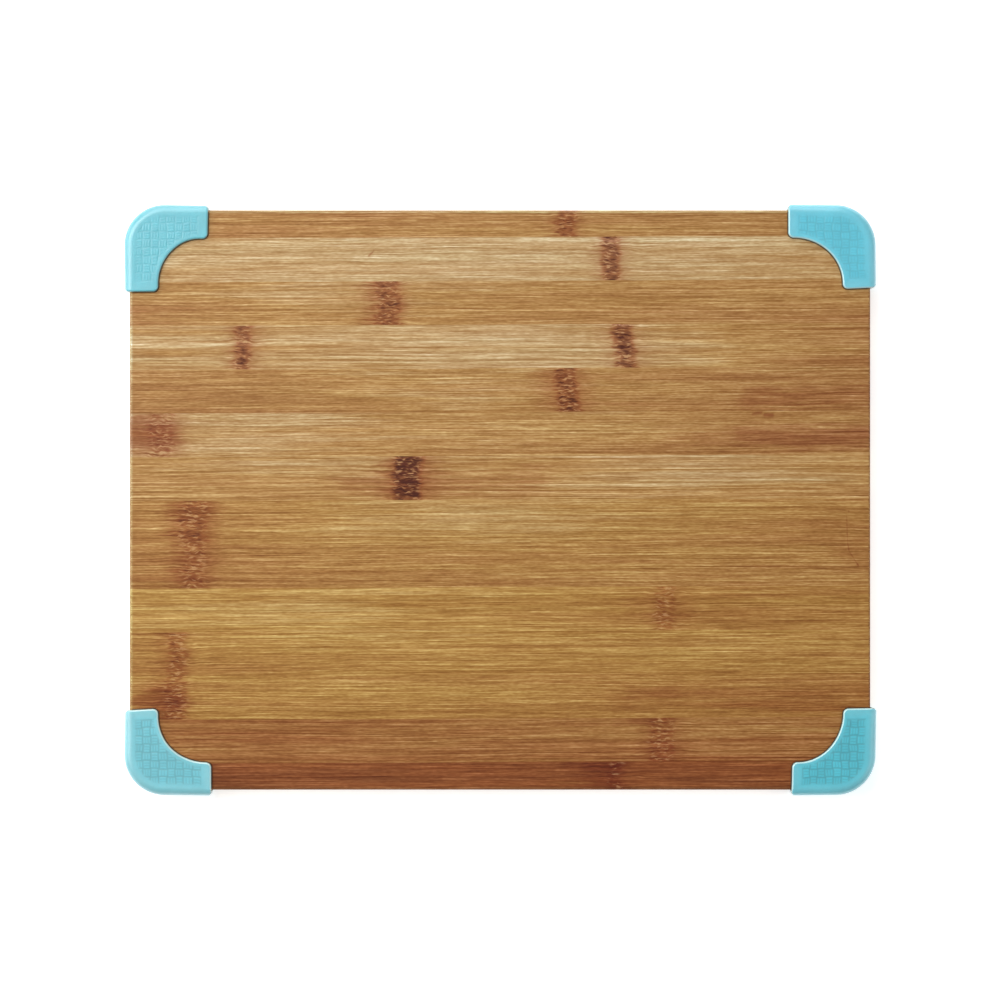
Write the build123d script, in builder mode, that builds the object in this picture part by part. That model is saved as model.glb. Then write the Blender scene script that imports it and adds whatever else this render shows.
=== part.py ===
from build123d import *
import os
from math import ceil, cos, radians, sin

# A bamboo cutting board. Three plies of flat bamboo lamellas are glued into one slab: the two
# face plies run along X and the core ply runs across them, along Y. A soft moulded guard is
# pushed over each corner, and the board stands on its four guards, either way up.
# Millimetres. +X is along the face grain, +Y is the back edge and +Z is up. The origin is on
# the counter, under the middle of the board.

# The slab
board_length = 350.4
board_width = 274.2
board_corner_radius = 16.5
ply_thickness = 3.8
ply_count = 3
edge_ease = 1.3  # round on every outer edge of the slab

# The lamellas
lamella_width = 20.7
lay_angle = 0.25  # degrees that the lamellas run out of square with the trimmed slab
top_first_width = 12.7  # what the trim leaves of the first lamella of each ply
bottom_first_width = 8.3
core_first_width = 19.95
lamella_overrun = 20.0  # how far each lamella reaches past the slab before the trim

# The corner guards
guard_wall = 2.6  # how far a guard stands out past the edge of the slab
guard_flange = 1.65  # thickness of a guard above and below the slab
guard_gap = 0.15  # clearance all round the slab, so that a guard can be pulled off
guard_arm_length = 40.6
guard_arm_width = 16.2
guard_corner_radius = 19.0
guard_scoop_radius = 20.8  # the hollow quarter circle between the two arms
guard_tip_radius = 2.5
guard_outer_round = 3.8
guard_rim_round = 0.9  # round on the edges of the arm ends and of the scoop

# Worked out from the above
board_thickness = ply_count * ply_thickness
board_bottom = guard_flange + guard_gap
overall_height = board_thickness + 2 * board_bottom
overall_length = board_length + 2 * guard_wall
overall_width = board_width + 2 * guard_wall
half_length = overall_length / 2
half_width = overall_width / 2

os.makedirs("parts", exist_ok=True)

# The whole slab, trimmed to its outline with its edges eased. Each lamella is a strip of it.
with BuildPart() as slab:
    with BuildSketch(Plane.XY.offset(board_bottom)):
        RectangleRounded(board_length, board_width, board_corner_radius)
    extrude(amount=board_thickness)
    fillet(slab.faces().filter_by(Axis.Z).edges(), radius=edge_ease)


def make_lamella(name, ply, grain_angle, centre):
    """Makes one flat bamboo strip of a ply, cut off where the slab is trimmed.

    Its grain lies at grain_angle degrees from X, and its middle line passes the middle of the
    slab at the distance centre, to the left of the grain's direction.
    """
    grain_x = cos(radians(grain_angle))
    grain_y = sin(radians(grain_angle))
    ply_plane = Plane(
        origin=(0, 0, board_bottom + ply * ply_thickness),
        x_dir=(grain_x, grain_y, 0),
        z_dir=(0, 0, 1),
    )
    with BuildPart() as lamella:
        with BuildSketch(ply_plane):
            with Locations((0, centre)):
                Rectangle(board_length + 2 * lamella_overrun, lamella_width)
        extrude(amount=ply_thickness)
        add(slab.part, mode=Mode.INTERSECT)
    lamella.part.label = name
    export_step(lamella.part, f"parts/{name}.step")


def lay_ply(prefix, ply, grain_angle, span, first_width):
    """Lays a ply across its span of the slab, from the left of its grain to the right."""
    count = 1 + ceil((span - first_width) / lamella_width)
    for i in range(count):
        centre = span / 2 - first_width + (0.5 - i) * lamella_width
        make_lamella(f"{prefix}_{i + 1:02d}", ply, grain_angle, centre)


lay_ply("bottom_lamella", 0, -lay_angle, board_width, bottom_first_width)
lay_ply("core_lamella", 1, 90 + lay_angle, board_length, core_first_width)
lay_ply("top_lamella", 2, lay_angle, board_width, top_first_width)

# The rounded block whose skin is the outer skin of all four guards.
with BuildPart() as guard_block:
    with BuildSketch():
        RectangleRounded(overall_length, overall_width, guard_corner_radius)
    extrude(amount=overall_height)
    fillet(guard_block.faces().filter_by(Axis.Z).edges(), radius=guard_outer_round)

# The room inside the guards: the slab's own shape with the clearance all round it.
with BuildPart() as pocket:
    with BuildSketch(Plane.XY.offset(guard_flange)):
        RectangleRounded(
            board_length + 2 * guard_gap,
            board_width + 2 * guard_gap,
            board_corner_radius + guard_gap,
        )
    extrude(amount=board_thickness + 2 * guard_gap)
    fillet(pocket.faces().filter_by(Axis.Z).edges(), radius=edge_ease + guard_gap)

# The guard of the back right corner: two arms along the edges, with the scoop between them.
arm_end_x = half_length - guard_arm_length
arm_end_y = half_width - guard_arm_length
arm_side_x = half_length - guard_arm_width
arm_side_y = half_width - guard_arm_width
scoop_x = arm_side_x - guard_scoop_radius
scoop_y = arm_side_y - guard_scoop_radius
with BuildPart() as back_right:
    with BuildSketch() as plan:
        with BuildLine():
            Polyline(
                (scoop_x, arm_side_y),
                (arm_end_x, arm_side_y),
                (arm_end_x, half_width),
                (half_length, half_width),
                (half_length, arm_end_y),
                (arm_side_x, arm_end_y),
                (arm_side_x, scoop_y),
            )
            CenterArc((scoop_x, scoop_y), guard_scoop_radius, 0, 90)
        make_face()
        back_tip = plan.vertices().sort_by_distance((arm_end_x, arm_side_y))[0]
        right_tip = plan.vertices().sort_by_distance((arm_side_x, arm_end_y))[0]
        fillet([back_tip, right_tip], radius=guard_tip_radius)
    extrude(amount=overall_height)
    add(guard_block.part, mode=Mode.INTERSECT)
    # The rim is one closed loop, where the faces that look inwards meet the outer skin.
    inward = back_right.faces().filter_by(lambda face: face.normal_at().X + face.normal_at().Y < -0.5)
    outer_skin = back_right.faces() - inward
    fillet(inward.edges() & outer_skin.edges(), radius=guard_rim_round)
    add(pocket.part, mode=Mode.SUBTRACT)
back_right.part.label = "corner_guard_back_right"
export_step(back_right.part, "parts/corner_guard_back_right.step")

# The other three guards are the same moulding, handed.
with BuildPart() as back_left:
    mirror(back_right.part, about=Plane.YZ)
back_left.part.label = "corner_guard_back_left"
export_step(back_left.part, "parts/corner_guard_back_left.step")

with BuildPart() as front_right:
    mirror(back_right.part, about=Plane.XZ)
front_right.part.label = "corner_guard_front_right"
export_step(front_right.part, "parts/corner_guard_front_right.step")

with BuildPart() as front_left:
    mirror(back_left.part, about=Plane.XZ)
front_left.part.label = "corner_guard_front_left"
export_step(front_left.part, "parts/corner_guard_front_left.step")
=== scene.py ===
import bpy
import math
import random
import numpy as np
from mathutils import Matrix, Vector
from mathutils.geometry import delaunay_2d_cdt


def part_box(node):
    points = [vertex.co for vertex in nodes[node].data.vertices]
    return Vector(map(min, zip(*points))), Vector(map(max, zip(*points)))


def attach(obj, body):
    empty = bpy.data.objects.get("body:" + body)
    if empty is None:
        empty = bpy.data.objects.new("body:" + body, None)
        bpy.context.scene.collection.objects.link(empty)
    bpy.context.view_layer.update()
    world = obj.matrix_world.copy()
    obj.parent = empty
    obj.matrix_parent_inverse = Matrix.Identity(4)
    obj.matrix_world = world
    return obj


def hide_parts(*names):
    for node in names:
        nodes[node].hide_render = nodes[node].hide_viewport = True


# The looks of a bamboo cutting board with soft corner guards. The bamboo strips are the CAD
# nodes with a bamboo material each. The guards are finer meshes made from the CAD guard: the
# same moulding with a basket weave pressed into its flat faces.
# Lengths in shaders and mesh work are in millimetres, and in metres if a name ends in _M.

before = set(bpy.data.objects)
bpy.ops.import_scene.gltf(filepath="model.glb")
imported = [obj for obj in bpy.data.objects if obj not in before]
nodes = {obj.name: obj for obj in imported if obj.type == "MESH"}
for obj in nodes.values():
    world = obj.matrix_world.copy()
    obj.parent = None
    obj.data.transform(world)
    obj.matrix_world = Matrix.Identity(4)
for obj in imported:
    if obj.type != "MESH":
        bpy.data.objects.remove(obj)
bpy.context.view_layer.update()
MM = 0.001

# --- Sizes that the CAD model also has -------------------------------------------------------
LAMELLA_WIDTH = 20.7
LAY_ANGLE = 0.25  # degrees that the face plies' grain lies from X
SLAB_HALF_LENGTH = 175.2
SLAB_HALF_WIDTH = 137.1
GUARD_ARM_WIDTH = 16.2
GUARD_CORNER_RADIUS = 19.0
GUARD_SCOOP_RADIUS = 20.8


# --- Shader building -------------------------------------------------------------------------
class Shading:
    """One material, with short calls that add a node, set or link its inputs and return its output."""

    def __init__(self, name):
        self.material = bpy.data.materials.new(name)
        self.material.use_nodes = True
        self.tree = self.material.node_tree
        self.surface = self.tree.nodes["Principled BSDF"]

    def set(self, socket, value):
        if isinstance(value, bpy.types.NodeSocket):
            self.tree.links.new(value, socket)
        else:
            socket.default_value = value

    def node(self, kind, inputs, output=0, **settings):
        made = self.tree.nodes.new("ShaderNode" + kind)
        for name, value in settings.items():
            setattr(made, name, value)
        for key, value in inputs.items():
            self.set(made.inputs[key], value)
        return made.outputs[output]

    def math(self, operation, a, b=0.0, clamp=False):
        return self.node("Math", {0: a, 1: b}, operation=operation, use_clamp=clamp)

    def add(self, *terms):
        total = terms[0]
        for term in terms[1:]:
            total = self.math("ADD", total, term)
        return total

    def scaled(self, value, middle, amount):
        """How far value is from middle, times amount."""
        return self.math("MULTIPLY", self.math("SUBTRACT", value, middle), amount)

    def step(self, value, low, high):
        """A smooth rise from 0 at low to 1 at high, or a fall if high is under low."""
        inputs = {"Value": value, "From Min": low, "From Max": high}
        return self.node("MapRange", inputs, interpolation_type="SMOOTHSTEP")

    def vector(self, x, y, z):
        return self.node("CombineXYZ", {"X": x, "Y": y, "Z": z})

    def noise(self, u, v, w, seed, detail=2.0, roughness=0.5):
        inputs = {"Vector": self.vector(u, v, w), "W": seed, "Scale": 1.0,
                  "Detail": detail, "Roughness": roughness}
        return self.node("TexNoise", inputs, noise_dimensions="4D")

    def ramp(self, value, stops, interpolation="LINEAR"):
        """A colour ramp. Each stop is a position and a colour, or a position and a grey."""
        output = self.node("ValToRGB", {"Fac": value})
        ramp = output.node.color_ramp
        ramp.interpolation = interpolation
        while len(ramp.elements) < len(stops):
            ramp.elements.new(0.5)
        for element, (position, colour) in zip(ramp.elements, stops):
            element.position = position
            element.color = (*colour, 1.0) if isinstance(colour, tuple) else (colour,) * 3 + (1.0,)
        return output

    def mix(self, factor, a, b, blend="MIX"):
        """Mixes two colours."""
        made = self.tree.nodes.new("ShaderNodeMix")
        made.data_type = "RGBA"
        made.blend_type = blend
        for index, value in ((0, factor), (6, a), (7, b)):
            if isinstance(value, tuple):
                value = (*value, 1.0)
            self.set(made.inputs[index], value)
        return made.outputs[2]


# --- Bamboo ----------------------------------------------------------------------------------
# Colour of the bamboo for a tone from 0 to 1, where the tone is how light it looks.
BAMBOO_PALETTE = [
    (0.25, (0.08, 0.02, 0.005)),
    (0.40, (0.21, 0.06, 0.015)),
    (0.60, (0.35, 0.19, 0.055)),
    (0.75, (0.46, 0.33, 0.16)),
]
OLIVE_TINT = (0.985, 1.014, 0.985)
RUDDY_TINT = (1.015, 0.983, 0.995)
STREAK_GAIN = (2.00, 2.84, 4.70)  # how much red, green and blue rise where a streak is lighter by 1
BAND_CONTRAST = 0.18
LENS_CONTRAST = 0.12
FIBRE_WANDER = 3.0  # how far the fibres wander across the strip, and again beside a knuckle
SWIRL_REACH = 26.0  # how far from a knuckle its fibres swirl
STREAK_TONE = 1.6  # the streaks' strength is this less the tone, so that pale strips are smoother
CUT_DARKER = 0.07  # how much darker the cut ends of the fibres are
EDGE_HIGHLIGHT_GAIN = (1.20, 1.62, 2.30)  # how much paler the painted highlight makes the slab's left, back and front edges
EDGE_HIGHLIGHT_REACH = (1.9, 0.7)  # how far from the edge the painted highlight starts, and where it is full
EDGE_FRAY = 1.2
# What a knuckle's stain leaves of the colour under it, from no stain to the darkest.
STAIN = [(0.0, (1.0, 1.0, 1.0)), (0.5, (0.68, 0.41, 0.35)), (1.0, (0.17, 0.055, 0.05))]
KNUCKLE_DRIFT = 8.0  # how far a knuckle's middle line drifts along the grain
KNUCKLE_FRAY = 18.0  # how far its edges fray along the grain
KNUCKLE_ARCH = 2.2  # how far its ridges arch across the grain
RIDGE_CONTRAST = 1.4
RIDGE_HEIGHT = 3.0  # how much more the ridges stand out than the fibres
CREST_RISE = (0.55, 0.68)  # how high a ridge starts to be a crest, and is one fully
CREST_LIGHT = (0.480, 0.255, 0.125)  # colour of the crests
CREST_COVER = 0.75
TONE_REACH = 180.0  # tones are placed within this of the middle
FIBRE_RELIEF = 0.08
BAMBOO_ROUGHNESS = 0.48
BAMBOO_SPECULAR = 0.22

# How light the top face's strips look.
STRAW, HONEY, TAN, BROWN, UMBER, DARK = 0.70, 0.64, 0.58, 0.53, 0.47, 0.38
# How much of the palette's blue a strip keeps.
COOL, PLAIN, GOLDEN = 1.08, 0.95, 0.84
TONE_PLACES = (-168, -84, 0, 84, 168)  # where a strip's five tones lie along the grain
BACK_LIFT = 0.02  # how much lighter a strip's back edge is than its front edge

# The top face's strips from the back to the front. Each has its tones from left to right, its
# hue and its knuckles, as (place, half width, darkness of the core, darkness of the stain beside
# it, reach of the stain to the left, and to the right).
TOP_STRIPS = [
    ((TAN, BROWN, TAN, TAN, BROWN), COOL, [(33, 4.2, .26, .25, 9, 8)]),
    ((HONEY, STRAW, STRAW, STRAW, HONEY), COOL, [(53, 3.8, .44, .25, 8, 9)]),
    ((BROWN, HONEY, TAN, TAN, BROWN), COOL, [(-52, 5.4, .16, .40, 13, 7)]),
    ((HONEY, HONEY, STRAW, HONEY, BROWN), COOL,
     [(-121, 3.4, .33, .26, 8, 11), (59.6, 4.4, .50, .19, 12, 14)]),
    ((BROWN, TAN, HONEY, BROWN, BROWN), COOL, [(32, 4.6, .35, .31, 16, 13)]),
    ((HONEY, HONEY, TAN, TAN, BROWN), COOL, [(-160.5, 5.4, .08, .28, 30, 12)]),
    ((TAN, HONEY, TAN, HONEY, TAN), COOL, [(-44, 6.2, .52, .37, 13, 17)]),
    ((BROWN, TAN, HONEY, TAN, BROWN), PLAIN, [(-145, 6.6, .02, .46, 11, 11)]),
    ((BROWN, BROWN, TAN, BROWN, BROWN), PLAIN, [(-145, 5.0, .00, .38, 11, 11)]),
    ((TAN, HONEY, TAN, BROWN, BROWN), GOLDEN, [(78, 4.4, .10, .17, 8, 12)]),
    ((BROWN, TAN, TAN, TAN, BROWN), GOLDEN, [(-152.5, 4.0, .15, .25, 12, 6)]),
    ((BROWN, TAN, BROWN, BROWN, UMBER), GOLDEN, [(-154, 5.0, .04, .36, 16, 4)]),
    ((UMBER, UMBER, UMBER, UMBER, UMBER), PLAIN, [(75.7, 5.4, .17, .20, 10, 12)]),
    ((DARK, DARK, DARK, DARK, DARK), PLAIN, [(54.5, 2.6, .08, .32, 20, 6)]),
]
# Stains along a line on the face, by strip number. Each is the line's start and end, as places
# along and across the grain, its half width, how softly its edge fades, and its darkness.
STAINS = {
    2: [((-61.6, 115.7), (-59.2, 118.1), .35, .35, .38)],
    5: [((118, 47), (176, 49), 4.5, 4.0, .30)],
    6: [((119.9, 40.2), (123.7, 40.7), .9, .6, .36), ((125.5, 39.7), (128.9, 39.7), 1.0, .6, .40),
        ((80, 29), (172, 29), 3.5, 4.0, .14), ((98, 29), (172, 29), 4.0, 3.5, .12),
        ((116, 30), (172, 29), 4.5, 3.0, .20), ((-178, 32), (-158, 30), 7.0, 4.0, .38)],
    7: [((-72, 9), (16, 9), 3.0, 8.0, .26)],
    8: [((163.9, -7.8), (164.3, -20.6), .12, .30, .34), ((164.9, -5.9), (165.0, -6.1), .4, .4, .45)],
    9: [((164.3, -20.6), (165.0, -24.8), .12, .30, .34), ((165.0, -24.8), (169.1, -31.4), .12, .30, .34),
        ((169.0, -31.3), (169.3, -31.6), .4, .4, .45), ((165, -27), (176, -29), 5.0, 6.0, .16)],
    10: [((64, -51), (88, -51), 4.5, 5.5, .14)],
    12: [((-168, -96), (-155, -95), 6.5, 3.0, .36), ((54, -93), (94, -93), 2.5, 4.5, .16),
         ((62, -92), (82, -91), 2.5, 4.0, .18), ((98, -93), (152, -94), 3.0, 5.0, .12)],
    13: [((54, -105.5), (71, -105.5), .8, 1.6, .22), ((61, -105.5), (71, -105.5), .8, 1.6, .22)],
    14: [((33, -126), (56, -127), 1.8, 3.5, .22), ((43, -126), (56, -127), 1.8, 3.0, .26)],
}


def stain(s, face_point, fray, start, end, half_width, soft, dark):
    """How dark one stain along a line is at each point of the face."""
    run = (end[0] - start[0], end[1] - start[1], 0.0)
    length = math.hypot(*run)
    from_start = s.node("VectorMath", {0: face_point, 1: (*start, 0.0)}, operation="SUBTRACT")
    along = s.node("VectorMath", {0: from_start, 1: run}, output="Value", operation="DOT_PRODUCT")
    share = s.math("MULTIPLY", along, 1 / length ** 2, clamp=True)
    nearest = s.node("VectorMath", {0: run, "Scale": share}, operation="SCALE")
    distance = s.node("VectorMath", {0: from_start, 1: nearest}, output="Value", operation="DISTANCE")
    frayed = s.math("ADD", distance, s.math("MULTIPLY", fray, soft))
    return s.math("MULTIPLY", s.step(frayed, half_width + soft, half_width - soft), dark)


def knuckle(s, u, v, w, seed, place, half_width, core_dark, side_dark, left_reach, right_reach):
    """One knuckle, where a culm's joint crosses a strip: its stain, its core and the core's ridges."""

    def noise(along, across, depth, offset, detail):
        stretched = s.math("MULTIPLY", u, along), s.math("MULTIPLY", v, across)
        return s.noise(*stretched, depth, seed + offset, detail)

    along = s.add(u, -place, s.scaled(noise(0.0, 0.13, 0.0, 3.1, 1.0), 0.5, KNUCKLE_DRIFT))
    fray = s.scaled(noise(0.06, 1.90, w, 5.7, 1.0), 0.5, KNUCKLE_FRAY)
    from_middle = s.math("ABSOLUTE", s.math("ADD", along, s.math("MULTIPLY", fray, 0.35)))
    core = s.step(from_middle, half_width + 2.4, half_width - 2.0)
    frayed = s.math("ADD", along, fray)
    left = s.step(frayed, -half_width - left_reach, -0.5 * half_width)
    right = s.step(frayed, half_width + right_reach, 0.5 * half_width)
    side = s.math("MULTIPLY", s.math("MULTIPLY", left, right), s.add(1.0, s.math("MULTIPLY", fray, 0.10)))

    arched = s.add(v, s.scaled(noise(0.35, 0.35, 0.0, 7.9, 2.0), 0.5, KNUCKLE_ARCH))
    ridges = s.noise(s.math("MULTIPLY", u, 0.30), s.math("MULTIPLY", arched, 1.50), w, seed + 9.3, 1.0)
    blotches = s.scaled(noise(0.12, 0.45, w, 11.1, 1.0), 0.5, 0.9 * core_dark)
    shade = s.add(core_dark, blotches, s.scaled(ridges, 0.5, -RIDGE_CONTRAST))
    density = s.add(s.math("MULTIPLY", side, side_dark), s.math("MULTIPLY", core, shade))
    return density, core, ridges


def edge_highlight(s, place, facing, strands):
    """Painted highlight: the gain of colour along the slab's left, back and front edges, less on its
    upright sides.
    """
    millimetres = s.node("Mapping", {"Vector": place, "Scale": (1 / MM,) * 3})
    axes = s.node("SeparateXYZ", {"Vector": millimetres}).node.outputs
    from_left = s.math("ADD", axes["X"], SLAB_HALF_LENGTH)
    from_long_edge = s.math("SUBTRACT", SLAB_HALF_WIDTH, s.math("ABSOLUTE", axes["Y"]))
    inset = s.add(s.math("MINIMUM", from_left, from_long_edge), s.scaled(strands, 0.5, EDGE_FRAY))
    upright = s.step(s.math("ABSOLUTE", facing["Z"]), 0.60, 0.20)
    painted_highlight = s.math("MULTIPLY", s.step(inset, *EDGE_HIGHLIGHT_REACH), s.add(1.0, s.math("MULTIPLY", upright, -0.5)))
    return s.mix(painted_highlight, (1.0, 1.0, 1.0), EDGE_HIGHLIGHT_GAIN)


def wandering(s, u, v, seed, knuckles):
    """The place across the grain that the fibres follow. They wander, and more so beside a knuckle."""
    wander = s.noise(s.math("MULTIPLY", u, 0.009), s.math("MULTIPLY", v, 0.05), 0.0, seed)
    swirl = s.noise(s.math("MULTIPLY", u, 0.10), s.math("MULTIPLY", v, 0.30), 0.0, seed + 1.7)
    across = s.add(v, s.scaled(wander, 0.5, FIBRE_WANDER))
    for spot in knuckles:
        near = s.step(s.math("ABSOLUTE", s.math("SUBTRACT", u, spot[0])), SWIRL_REACH, 2.0)
        across = s.add(across, s.math("MULTIPLY", near, s.scaled(swirl, 0.5, FIBRE_WANDER)))
    return across


def with_stains(s, colour, u, v, fray, stains):
    """The colour with a strip's stains laid over it."""
    face_point = s.vector(u, v, 0.0)
    for spot in stains:
        shade = stain(s, face_point, fray, *spot)
        colour = s.mix(1.0, colour, s.ramp(shade, STAIN), "MULTIPLY")
    return colour


def with_knuckles(s, colour, relief, u, v, w, seed, knuckles):
    """The colour and the relief with a strip's knuckles laid over them."""
    for number, spot in enumerate(knuckles, 1):
        density, core, ridges = knuckle(s, u, v, w, seed + 20.0 * number, *spot)
        crest = s.math("MULTIPLY", core, s.step(ridges, *CREST_RISE))
        crest_colour = s.mix(0.5, colour, CREST_LIGHT)
        stained = s.mix(1.0, colour, s.ramp(density, STAIN), "MULTIPLY")
        colour = s.mix(s.math("MULTIPLY", crest, CREST_COVER), stained, crest_colour)
        relief = s.add(relief, s.math("MULTIPLY", core, s.scaled(ridges, 0.5, RIDGE_HEIGHT)))
    return colour, relief


def bamboo(name, seed, grain_angle, tones, back_lift, blue, middle, knuckles, stains):
    """A bamboo strip's material. Its grain lies at grain_angle degrees from X."""
    s = Shading(name)
    place = s.node("TexCoord", {}, output="Object")
    turned = s.node("Mapping", {"Vector": place, "Rotation": (0, 0, -math.radians(grain_angle)),
                                "Scale": (1 / MM,) * 3})
    axes = s.node("SeparateXYZ", {"Vector": turned}).node.outputs
    u, v, w = axes["X"], axes["Y"], axes["Z"]

    across_grain = wandering(s, u, v, seed, knuckles)

    def fibres(along, across, offset, detail=0.0, roughness=0.5):
        return s.noise(s.math("MULTIPLY", u, along), s.math("MULTIPLY", across_grain, across),
                       s.math("MULTIPLY", w, across), seed + offset, detail, roughness)

    # Each layer has how often it changes along and across the grain, and an offset of its own.
    bands = fibres(0.007, 0.17, 2.0, 2.0)
    lenses = fibres(0.020, 0.50, 4.0, 1.0)
    threads = fibres(0.003, 2.10, 6.0)
    strands = fibres(0.022, 2.20, 8.0)
    flecks = fibres(0.100, 2.10, 10.0)
    dashes = fibres(0.450, 2.30, 16.0)
    lines = s.math("ABSOLUTE", s.math("SUBTRACT", fibres(0.005, 0.42, 12.0, 1.0), 0.5))
    line = s.math("MULTIPLY", s.step(lines, 0.022, 0.0), s.step(strands, 0.40, 0.60))
    warmth = s.math("ADD", s.scaled(fibres(0.012, 0.35, 14.0, 3.0, 0.6), 0.5, 2.0), 0.5)

    along_strip = s.math("DIVIDE", s.math("ADD", u, TONE_REACH), 2 * TONE_REACH)
    stops = [((x + TONE_REACH) / (2 * TONE_REACH), tone) for x, tone in tones]
    base = s.ramp(along_strip, stops, "B_SPLINE")
    lift = s.scaled(v, middle, back_lift / LAMELLA_WIDTH)
    tone = s.add(base, lift, s.scaled(bands, 0.5, BAND_CONTRAST), s.scaled(lenses, 0.5, LENS_CONTRAST))
    streak = s.add(s.scaled(threads, 0.5, 1.0), s.scaled(strands, 0.5, 1.2), s.scaled(flecks, 0.5, 1.0),
                   s.scaled(dashes, 0.5, 0.7), s.math("MULTIPLY", line, -0.35))
    streak = s.math("MULTIPLY", streak, s.math("SUBTRACT", STREAK_TONE, base))

    # Cut fibre ends take the light less well than their sides.
    normal = s.node("TexCoord", {}, output="Normal")
    turned_normal = s.node("Mapping", {"Vector": normal, "Rotation": (0, 0, -math.radians(grain_angle))})
    facing = s.node("SeparateXYZ", {"Vector": turned_normal}).node.outputs
    cut = s.step(s.math("ABSOLUTE", facing["X"]), 0.55, 0.90)
    tone = s.add(tone, s.math("MULTIPLY", cut, -CUT_DARKER))
    colour = s.mix(1.0, s.ramp(tone, BAMBOO_PALETTE), s.mix(warmth, OLIVE_TINT, RUDDY_TINT), "MULTIPLY")
    gains = s.vector(*(s.math("POWER", gain, streak) for gain in STREAK_GAIN))
    colour = s.mix(1.0, s.mix(1.0, colour, gains, "MULTIPLY"), (1.0, 1.0, blue), "MULTIPLY")
    # Painted highlight: the slab's left, back and front edges are paled, and the right edge is not.
    colour = s.mix(1.0, colour, edge_highlight(s, place, facing, strands), "MULTIPLY")

    fray = s.scaled(fibres(0.060, 0.90, 18.0), 0.5, 3.0)
    colour = with_stains(s, colour, u, v, fray, stains)
    colour, relief = with_knuckles(s, colour, threads, u, across_grain, w, seed, knuckles)
    s.set(s.surface.inputs["Base Color"], colour)

    roughness = s.add(BAMBOO_ROUGHNESS, s.scaled(threads, 0.5, 0.25), s.math("MULTIPLY", cut, 0.15))
    s.set(s.surface.inputs["Roughness"], roughness)
    s.surface.inputs["Specular IOR Level"].default_value = BAMBOO_SPECULAR
    bump = s.node("Bump", {"Height": relief, "Strength": 0.35, "Distance": FIBRE_RELIEF * MM})
    s.set(s.surface.inputs["Normal"], bump)
    return s.material


def top_strip(tones, blue, spots):
    """Tones, hue and knuckles for a strip of the top face, in the form that random_strip gives."""
    return list(zip(TONE_PLACES, tones)), BACK_LIFT, blue, spots


def random_strip(draw):
    """Tones and knuckles for a strip that the top face doesn't show."""
    level = draw.uniform(0.48, 0.66)
    tones = [(x, level + draw.uniform(-0.05, 0.05)) for x in (-160, -80, 0, 80, 160)]
    spots = [(draw.uniform(-160, 160), draw.uniform(3.6, 5.5), draw.uniform(0.1, 0.6),
              draw.uniform(0.1, 0.4), draw.uniform(4, 14), draw.uniform(4, 14))]
    return tones, draw.uniform(-0.03, 0.03), draw.uniform(0.8, 1.1), spots


def dress_ply(prefix, grain_angle, across_y, strips=None):
    """Gives each strip of a ply its own bamboo material."""
    members = sorted(name for name in nodes if name.startswith(prefix))
    for number, name in enumerate(members):
        seed = 31.7 * number + 5.3 * len(prefix)
        draw = random.Random(name)
        tones, back_lift, blue, spots = strips[number] if strips else random_strip(draw)
        low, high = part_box(name)
        middle = (low[1] + high[1]) / 2 / MM if across_y else -(low[0] + high[0]) / 2 / MM
        stains = STAINS.get(number + 1, []) if strips else []
        nodes[name].material_slots[0].material = bamboo(
            f"bamboo_{name}", seed, grain_angle, tones, back_lift, blue, middle, spots, stains)


dress_ply("top_lamella", LAY_ANGLE, True, [top_strip(*strip) for strip in TOP_STRIPS])
dress_ply("core_lamella", 90 + LAY_ANGLE, False)
dress_ply("bottom_lamella", -LAY_ANGLE, True)


# --- Corner guards ---------------------------------------------------------------------------
WEAVE_PITCH = 3.85  # one tile of the basket weave
WEAVE_STRANDS = 3  # strands side by side in a tile
WEAVE_STEPS = 18  # mesh points along a tile
WEAVE_DIP = 0.065  # how deep a strand dives at its tile's ends
WEAVE_GROOVE = 0.035  # depth between two strands
WEAVE_SAG = 0.02  # the most that a whole tile lies lower than its neighbours
WEAVE_OUTER_INSET = 5.0  # from the guard's outer edge to the weave
WEAVE_END_INSET = 4.4  # from an arm's end to the weave
WEAVE_SCOOP_INSET = 1.6  # from the scoop to the weave
WEAVE_WAVER = 0.22  # how far the weave's lines waver
WEAVE_WAVER_LENGTH = 11.0
POCKET_ROOF = 1.65  # thickness of a guard above and below the slab
LIP_FLARE = 0.45  # how far the foot of the inner wall flares out over the bamboo, carrying the painted crevice shade
TIP_ROUND = 2.2  # round of an arm's outer tip, seen from above
WELD = 1e-4  # points closer than this are one

# How each soft guard sits: for its arm along X and then along Y, how much longer the arm is than
# drawn, how far its end leans, and how far its tip stands off the board.
GUARD_FIT = {
    "back_left": ((-0.9, 0.3, 0.0), (0.6, 0.1, 0.0)),
    "back_right": ((0.9, 0.0, 0.5), (-1.0, -0.8, 0.5)),
    "front_left": ((0.7, 0.0, 0.6), (0.0, -0.9, 0.0)),
    "front_right": ((-0.8, 0.4, 0.5), (0.6, 0.2, 0.7)),
}
# The four mouldings differ slightly in colour, and so does the light painted on each. Each has its colour,
# how much painted sheen pales its border, how much painted highlight pales the rim of its scoop and arm
# ends, and how much painted shade darkens the grooves of its weave.
GUARD_LOOKS = {
    "back_left": ((0.050, 0.378, 0.452), 0.04, 0.06, 0.12),
    "back_right": ((0.064, 0.473, 0.598), 0.10, 0.34, 0.26),
    "front_left": ((0.106, 0.464, 0.540), 0.13, 0.42, 0.40),
    "front_right": ((0.044, 0.466, 0.568), 0.12, 0.42, 0.48),
}
BORDER_SHEEN = (0.60, 0.56, 0.50)  # colour towards which the painted sheen pales the border
RIM_HIGHLIGHT = (0.80, 0.84, 0.72)  # colour of the painted highlight on the rims
CREVICE_SHADE = (0.020, 0.016, 0.010)  # painted shade where a guard's inner wall meets the bamboo
CORNER_SIGNS = {"back_left": (-1, 1), "back_right": (1, 1), "front_left": (-1, -1), "front_right": (1, -1)}

guard_low, guard_high = (np.array(corner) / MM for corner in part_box("corner_guard_back_right"))


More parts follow.
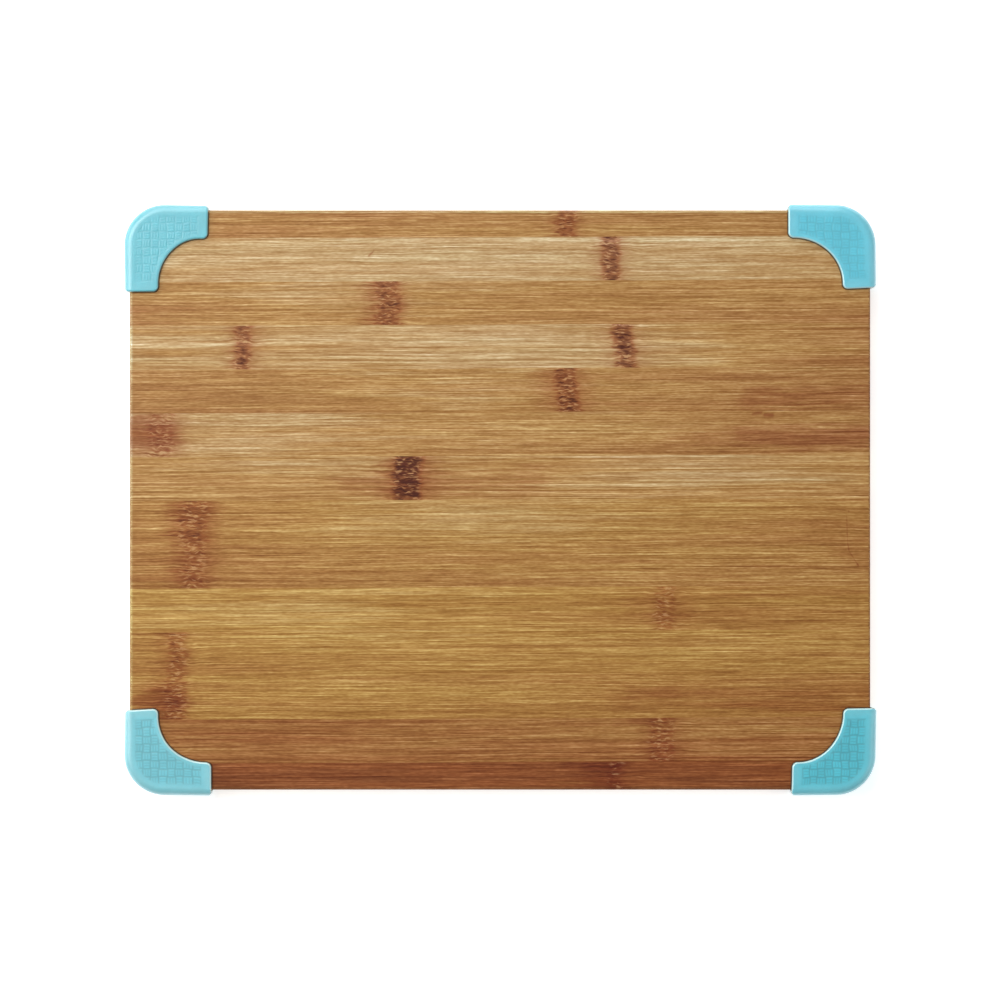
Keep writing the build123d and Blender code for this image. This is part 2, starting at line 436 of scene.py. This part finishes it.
def outline_of(triangles):
    """The closed outline of a patch of triangles, as one ring of point numbers."""
    following = {}
    sides = {(a, b) for tri in triangles for a, b in zip(tri, np.roll(tri, -1))}
    for a, b in sides:
        if (b, a) not in sides:
            following[a] = b
    ring = [min(following)]
    while following[ring[-1]] != ring[0]:
        ring.append(following[ring[-1]])
    return ring


def inside_margin(points, ring):
    """How far each point is inside the ring, in the plan. It is negative outside."""
    starts, ends = ring, np.roll(ring, -1, axis=0)
    run = ends - starts
    share = ((points[:, None] - starts) * run).sum(2) / (run ** 2).sum(1)
    nearest = starts + np.clip(share, 0, 1)[..., None] * run
    distance = np.linalg.norm(points[:, None] - nearest, axis=2).min(1)
    x, y = points[:, :1], points[:, 1:]
    spans = (starts[:, 1] > y) != (ends[:, 1] > y)
    rise = np.where(run[:, 1] == 0, 1e-12, run[:, 1])
    crossings = (spans & (x < starts[:, 0] + (y - starts[:, 1]) * run[:, 0] / rise)).sum(1)
    return np.where(crossings % 2 == 1, distance, -distance)


def fill_flat(ring):
    """Fills a guard's flat face with triangles on the weave's own grid of points."""
    step = WEAVE_PITCH / WEAVE_STEPS
    origin = guard_high[:2] - WEAVE_OUTER_INSET
    counts = np.ceil((origin - guard_low[:2]) / step).astype(int)
    extra = int(WEAVE_OUTER_INSET / step)
    columns, rows = np.meshgrid(np.arange(-extra, counts[0]), np.arange(-extra, counts[1]))
    grid = origin - step * np.stack([columns.ravel(), rows.ravel()], axis=1)
    grid = grid[inside_margin(grid, ring) > 0.6 * step]
    points = [Vector(point) for point in np.concatenate([ring, grid])]
    filled = delaunay_2d_cdt(points, [], [list(range(len(ring)))], 1, 1e-7)
    return np.array([tuple(point) for point in filled[0]]), np.array(filled[2])


def guard_template():
    """The back right guard: points, triangles, corner normals, and which flat each point is on."""
    mesh = nodes["corner_guard_back_right"].data
    points = np.array([vertex.co for vertex in mesh.vertices]) / MM
    triangles = np.array([polygon.vertices[:] for polygon in mesh.polygons])
    normals = np.array([corner.vector for corner in mesh.corner_normals]).reshape(-1, 3, 3)
    _, first, same = np.unique(np.round(points / WELD), axis=0, return_index=True, return_inverse=True)
    points, triangles = points[first], same.reshape(-1)[triangles]
    heights = points[triangles][:, :, 2]
    flat = {side: (np.abs(heights - level) < WELD).all(1)
            for side, level in ((1, guard_high[2]), (-1, guard_low[2]))}
    rim = ~(flat[1] | flat[-1])

    # The foot of the inner wall, at the mouth of the pocket, flares out, so that the shade painted on it
    # shows from above as a dark line on the bamboo.
    depth = np.minimum(guard_high[2] - heights, heights - guard_low[2])
    shaded_foot = (np.abs(depth - POCKET_ROOF) < 0.01) & (np.abs(normals[:, :, 2]) < 0.05)
    shaded_foot &= normals[:, :, 0] + normals[:, :, 1] < -0.5
    points[triangles[shaded_foot]] += LIP_FLARE * normals[shaded_foot]
    all_points, all_triangles, all_normals = [points], [triangles[rim]], [normals[rim]]
    on_flat = [np.zeros(len(points), int)]
    for side, level in ((1, guard_high[2]), (-1, guard_low[2])):
        ring = outline_of(triangles[flat[side]])
        if side < 0:
            ring.reverse()
        plan, faces = fill_flat(points[ring][:, :2])
        start = sum(len(part) for part in all_points)
        all_points.append(np.column_stack([plan, np.full(len(plan), level)]))
        all_triangles.append((faces if side > 0 else faces[:, ::-1]) + start)
        all_normals.append(np.tile([0.0, 0.0, side], (len(faces), 3, 1)))
        on_flat.append(np.full(len(plan), side))
    return (np.concatenate(all_points), np.concatenate(all_triangles),
            np.concatenate(all_normals), np.concatenate(on_flat))


def ease(value, low, high):
    share = np.clip((value - low) / (high - low), 0, 1)
    return share * share * (3 - 2 * share)


def ripple(x, y, draw, wavelength):
    """A smooth random field of about -1 to 1: a few sine waves in random directions."""
    total = 0
    for _ in range(4):
        angle, phase = draw.uniform(0, math.tau), draw.uniform(0, math.tau)
        rate = math.tau / (wavelength * draw.uniform(0.7, 1.4))
        total = total + np.sin(rate * (x * math.cos(angle) + y * math.sin(angle)) + phase)
    return total / 2.5


def weave_margin(x, y):
    """How far a point of the plan is inside the field of the weave. It is negative outside."""
    outer_x, outer_y = guard_high[:2] - WEAVE_OUTER_INSET
    end_x, end_y = guard_low[:2] + WEAVE_END_INSET
    corner = guard_high[:2] - GUARD_CORNER_RADIUS
    scoop = guard_high[:2] - GUARD_ARM_WIDTH - GUARD_SCOOP_RADIUS
    margin = np.minimum.reduce([outer_x - x, outer_y - y, x - end_x, y - end_y])
    round_margin = GUARD_CORNER_RADIUS - WEAVE_OUTER_INSET - np.hypot(x - corner[0], y - corner[1])
    margin = np.where((x > corner[0]) & (y > corner[1]), np.minimum(margin, round_margin), margin)
    beside = np.hypot(np.maximum(x - scoop[0], 0), np.maximum(y - scoop[1], 0)) - GUARD_SCOOP_RADIUS
    return np.minimum(margin, beside - WEAVE_SCOOP_INSET)


def weave_depth(x, y, draw):
    """The depth of the basket weave: tiles of strands that go under their neighbours in turn."""
    across_x = (guard_high[0] - WEAVE_OUTER_INSET - x) / WEAVE_PITCH
    across_y = (guard_high[1] - WEAVE_OUTER_INSET - y) / WEAVE_PITCH
    column, row = np.floor(across_x + 1e-6).astype(int), np.floor(across_y + 1e-6).astype(int)
    a, b = across_x - column - 0.5, across_y - row - 0.5
    swap = (column + row + draw.randint(0, 1)) % 2 == 1
    a, b = np.where(swap, b, a), np.where(swap, a, b)
    tile_sag = np.array([[draw.uniform(0, 1) for _ in range(40)] for _ in range(40)])
    strand = (b + 0.5) * WEAVE_STRANDS
    to_groove = np.minimum(strand % 1.0, 1.0 - strand % 1.0)
    dip = ease(np.abs(a), 0.26, 0.50)
    groove = 1 - ease(to_groove, 0.0, 0.30)
    side = ease(np.abs(b), 0.44, 0.50)
    depth = np.maximum.reduce([WEAVE_DIP * dip, WEAVE_GROOVE * groove, WEAVE_DIP * side])
    return depth + WEAVE_SAG * tile_sag[column % 40, row % 40] * (1 - dip) * (1 - side)


def vertex_normals(points, triangles):
    """Smooth normals from the triangles around each point, weighted by area."""
    corners = points[triangles]
    face = np.cross(corners[:, 1] - corners[:, 0], corners[:, 2] - corners[:, 0])
    total = np.zeros_like(points)
    for corner in range(3):
        np.add.at(total, triangles[:, corner], face)
    return total / np.maximum(np.linalg.norm(total, axis=1, keepdims=True), 1e-12)


def round_tip(along, across):
    """Rounds the outer tip of an arm. Both places are measured in from the tip."""
    a, b = TIP_ROUND - along, TIP_ROUND - across
    shrink = np.maximum(a, b) / np.maximum(np.hypot(a, b), 1e-9)
    shrink = np.where((a > 0) & (b > 0), shrink, 1.0)
    return TIP_ROUND - a * shrink, TIP_ROUND - b * shrink


def settle(points, corner):
    """Rounds a guard's tips and bends it from how it is drawn to how it sits on its corner."""
    x, y, z = points.T.copy()
    along, across = round_tip(x - guard_low[0], guard_high[1] - y)
    x, y = guard_low[0] + along, guard_high[1] - across
    along, across = round_tip(y - guard_low[1], guard_high[0] - x)
    x, y = guard_high[0] - across, guard_low[1] + along
    fit_x, fit_y = GUARD_FIT[corner]
    to_end_x = ease(guard_high[0] - x, GUARD_CORNER_RADIUS, guard_high[0] - guard_low[0])
    to_end_y = ease(guard_high[1] - y, GUARD_CORNER_RADIUS, guard_high[1] - guard_low[1])
    lean_x = (guard_high[1] - y) / GUARD_ARM_WIDTH - 0.5
    lean_y = (guard_high[0] - x) / GUARD_ARM_WIDTH - 0.5
    moved_x = x - to_end_x * (fit_x[0] - fit_x[1] * lean_x) + to_end_y ** 2 * fit_y[2]
    moved_y = y - to_end_y * (fit_y[0] - fit_y[1] * lean_y) + to_end_x ** 2 * fit_x[2]
    return np.column_stack([moved_x, moved_y, z])


def make_guard(corner, template, material):
    """One corner's guard: the moulding with its own weave, handed and bent to sit on its corner."""
    points, triangles, normals, on_flat = template
    points, normals = points.copy(), normals.copy()
    grooves = np.zeros(len(points))
    border = 1 - ease(weave_margin(*points[:, :2].T), -3.0, 2.5)
    for side in (1, -1):
        draw = random.Random(f"{corner} {side}")
        here = on_flat == side
        x, y = points[here][:, 0], points[here][:, 1]
        field = ease(weave_margin(x, y), -0.05, 0.90)
        depth = field * weave_depth(x, y, draw)
        points[here, 2] -= side * depth
        grooves[here] = depth / (WEAVE_DIP + WEAVE_SAG)
        points[here, 0] += field * WEAVE_WAVER * ripple(x, y, draw, WEAVE_WAVER_LENGTH)
        points[here, 1] += field * WEAVE_WAVER * ripple(x, y, draw, WEAVE_WAVER_LENGTH)
        faces = on_flat[triangles[:, 0]] == side
        smooth = vertex_normals(points, triangles[faces])
        still = field < 1e-3
        smooth[np.flatnonzero(here)[still]] = (0, 0, side)
        normals[faces] = smooth[triangles[faces]]
    points = settle(points, corner)
    signs = np.array([*CORNER_SIGNS[corner], 1])
    points, normals = points * signs, normals * signs
    if signs[0] * signs[1] < 0:
        triangles, normals = triangles[:, ::-1], normals[:, ::-1]
    _, first, same = np.unique(np.round(points / WELD), axis=0, return_index=True, return_inverse=True)
    triangles = same.reshape(-1)[triangles]
    whole = (triangles[:, 0] != triangles[:, 1]) & (triangles[:, 1] != triangles[:, 2]) \
        & (triangles[:, 2] != triangles[:, 0])
    mesh = bpy.data.meshes.new(f"soft_guard_{corner}")
    mesh.from_pydata((points[first] * MM).tolist(), [], triangles[whole].tolist())
    mesh.shade_smooth()
    mesh.normals_split_custom_set(normals[whole].reshape(-1, 3).tolist())
    guard = bpy.data.objects.new(f"soft_guard_{corner}", mesh)
    bpy.context.scene.collection.objects.link(guard)
    mesh.attributes.new("groove", "FLOAT", "POINT").data.foreach_set("value", grooves[first])
    mesh.attributes.new("border", "FLOAT", "POINT").data.foreach_set("value", border[first])
    mesh.materials.append(material)
    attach(guard, f"{corner}_guard")
    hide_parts(f"corner_guard_{corner}")


def silicone(corner, colour, border_sheen, painted_highlight, groove_shade):
    """Soft turquoise silicone with a slightly uneven surface. Painted sheen pales its border, painted
    highlight pales its rims, and painted shade darkens its weave's grooves and the foot of its inner
    walls.
    """
    s = Shading(f"silicone_{corner}")
    place = s.node("TexCoord", {}, output="Object")
    scaled = s.node("Mapping", {"Vector": place, "Scale": (1 / MM,) * 3})
    cloud = s.node("TexNoise", {"Vector": scaled, "Scale": 0.12, "Detail": 3.0})
    grain = s.node("TexNoise", {"Vector": scaled, "Scale": 3.5, "Detail": 2.0})
    mottle = s.node("TexNoise", {"Vector": scaled, "Scale": 1.1, "Detail": 2.0})
    clouded = s.ramp(s.add(cloud, s.scaled(mottle, 0.5, 0.6)), [(0.20, 0.93), (0.80, 1.07)])
    # Painted shade: the weave's grooves are darkened with their depth.
    groove = s.node("Attribute", {}, output="Fac", attribute_name="groove")
    groove_light = s.math("SUBTRACT", 1.0, s.math("MULTIPLY", groove, groove_shade))
    grooved = s.mix(1.0, colour, groove_light, "MULTIPLY")
    coloured = s.mix(1.0, grooved, clouded, "MULTIPLY")

    normal = s.node("SeparateXYZ", {"Vector": s.node("TexCoord", {}, output="Normal")}).node.outputs
    sign_x, sign_y = CORNER_SIGNS[corner]
    outward = s.add(s.math("MULTIPLY", normal["X"], sign_x), s.math("MULTIPLY", normal["Y"], sign_y))
    # Painted sheen: the border round the weave is paled.
    border = s.node("Attribute", {}, output="Fac", attribute_name="border")
    coloured = s.mix(s.math("MULTIPLY", border, border_sheen), coloured, BORDER_SHEEN)
    # Painted highlight: the rims of the scoop and arm ends, which face inward, are paled.
    inward = s.step(outward, -0.05, -0.60)
    coloured = s.mix(s.math("MULTIPLY", inward, painted_highlight), coloured, RIM_HIGHLIGHT)
    # Painted shade: the foot of the inward walls, where they meet the bamboo, is darkened.
    height = s.node("SeparateXYZ", {"Vector": scaled}).node.outputs["Z"]
    from_middle = s.math("ABSOLUTE", s.math("SUBTRACT", height, guard_high[2] / 2))
    above_roof = s.math("SUBTRACT", from_middle, guard_high[2] / 2 - POCKET_ROOF)
    shaded_foot = s.math("MULTIPLY", s.step(above_roof, -0.20, -0.05), s.step(above_roof, 0.90, 0.70))
    coloured = s.mix(s.math("MULTIPLY", shaded_foot, inward), coloured, CREVICE_SHADE)
    s.set(s.surface.inputs["Base Color"], coloured)
    roughness = s.add(0.36, s.scaled(cloud, 0.5, 0.12), s.scaled(grain, 0.5, 0.10))
    s.set(s.surface.inputs["Roughness"], roughness)
    s.surface.inputs["Specular IOR Level"].default_value = 0.8
    s.surface.inputs["Coat Weight"].default_value = 1.0
    s.surface.inputs["Coat Roughness"].default_value = 0.44
    s.surface.inputs["Coat IOR"].default_value = 1.6
    s.surface.inputs["Subsurface Weight"].default_value = 0.25
    s.surface.inputs["Subsurface Radius"].default_value = (0.6, 1.0, 1.2)
    s.surface.inputs["Subsurface Scale"].default_value = 1.2 * MM
    bump = s.node("Bump", {"Height": grain, "Strength": 0.10, "Distance": 0.02 * MM})
    s.set(s.surface.inputs["Normal"], bump)
    return s.material


template = guard_template()
for corner in GUARD_FIT:
    make_guard(corner, template, silicone(corner, *GUARD_LOOKS[corner]))


# --- Stage, light and camera -----------------------------------------------------------------
VIEW_WIDTH_M = 0.473  # width of the view at the cutting face
CAMERA_HEIGHT_M = 2.2
SENSOR_MM = 36.0
FLOOR_HALF_M = 30.0
FLOOR_DROP = 0.05  # how far the floor lies under the guards
FLOOR_GREY = 0.90
FLOOR_GLOW = 0.55  # a little light of its own keeps the floor white, as in the photograph
WORLD_LIGHT = 0.38
# The softboxes: place, width and height in metres, and power in watts.
SOFTBOXES = {
    "overhead": ((-0.60, 0.40, 1.05), 0.7, 0.7, 6),
    "left_window": ((-1.45, 0.30, 1.00), 1.2, 1.5, 18),
    "back_window": ((-0.30, 1.45, 1.00), 1.2, 1.5, 17),
    "right_fill": ((1.8, -0.5, 1.2), 1.2, 1.2, 8),
}


def make_floor():
    mesh = bpy.data.meshes.new("floor")
    corners = [(x * FLOOR_HALF_M, y * FLOOR_HALF_M, 0) for x, y in ((-1, -1), (1, -1), (1, 1), (-1, 1))]
    mesh.from_pydata(corners, [], [(0, 1, 2, 3)])
    floor = bpy.data.objects.new("floor", mesh)
    floor.location.z = -FLOOR_DROP * MM
    bpy.context.scene.collection.objects.link(floor)
    s = Shading("pale_floor")
    s.surface.inputs["Base Color"].default_value = (FLOOR_GREY, FLOOR_GREY, FLOOR_GREY, 1)
    s.surface.inputs["Roughness"].default_value = 0.9
    s.surface.inputs["Specular IOR Level"].default_value = 0.1
    s.surface.inputs["Emission Color"].default_value = (1, 1, 1, 1)
    s.surface.inputs["Emission Strength"].default_value = FLOOR_GLOW
    mesh.materials.append(s.material)


def softbox(name, place, width, height, power):
    """A large flat lamp that faces the board."""
    lamp = bpy.data.lights.new(name, "AREA")
    lamp.shape = "RECTANGLE"
    lamp.size = width
    lamp.size_y = height
    lamp.energy = power
    lamp_object = bpy.data.objects.new(name, lamp)
    lamp_object.location = place
    lamp_object.rotation_euler = (-Vector(place)).to_track_quat("-Z", "Y").to_euler()
    bpy.context.scene.collection.objects.link(lamp_object)


def make_world():
    world = bpy.data.worlds.new("studio")
    world.use_nodes = True
    background = world.node_tree.nodes["Background"]
    background.inputs["Color"].default_value = (1, 1, 1, 1)
    background.inputs["Strength"].default_value = WORLD_LIGHT
    bpy.context.scene.world = world


def make_camera():
    """A camera straight above the board, whose view is VIEW_WIDTH_M wide at the cutting face."""
    camera = bpy.data.cameras.new("camera")
    camera.sensor_width = SENSOR_MM
    top_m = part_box("top_lamella_07")[1][2]
    camera.lens = SENSOR_MM * (CAMERA_HEIGHT_M - top_m) / VIEW_WIDTH_M
    camera_object = bpy.data.objects.new("camera", camera)
    camera_object.location = (0, 0, CAMERA_HEIGHT_M)
    bpy.context.scene.collection.objects.link(camera_object)
    bpy.context.scene.camera = camera_object


make_floor()
for name, (place, width, height, power) in SOFTBOXES.items():
    softbox(name, place, width, height, power)
make_world()
make_camera()
bpy.context.scene.view_settings.view_transform = "Standard"
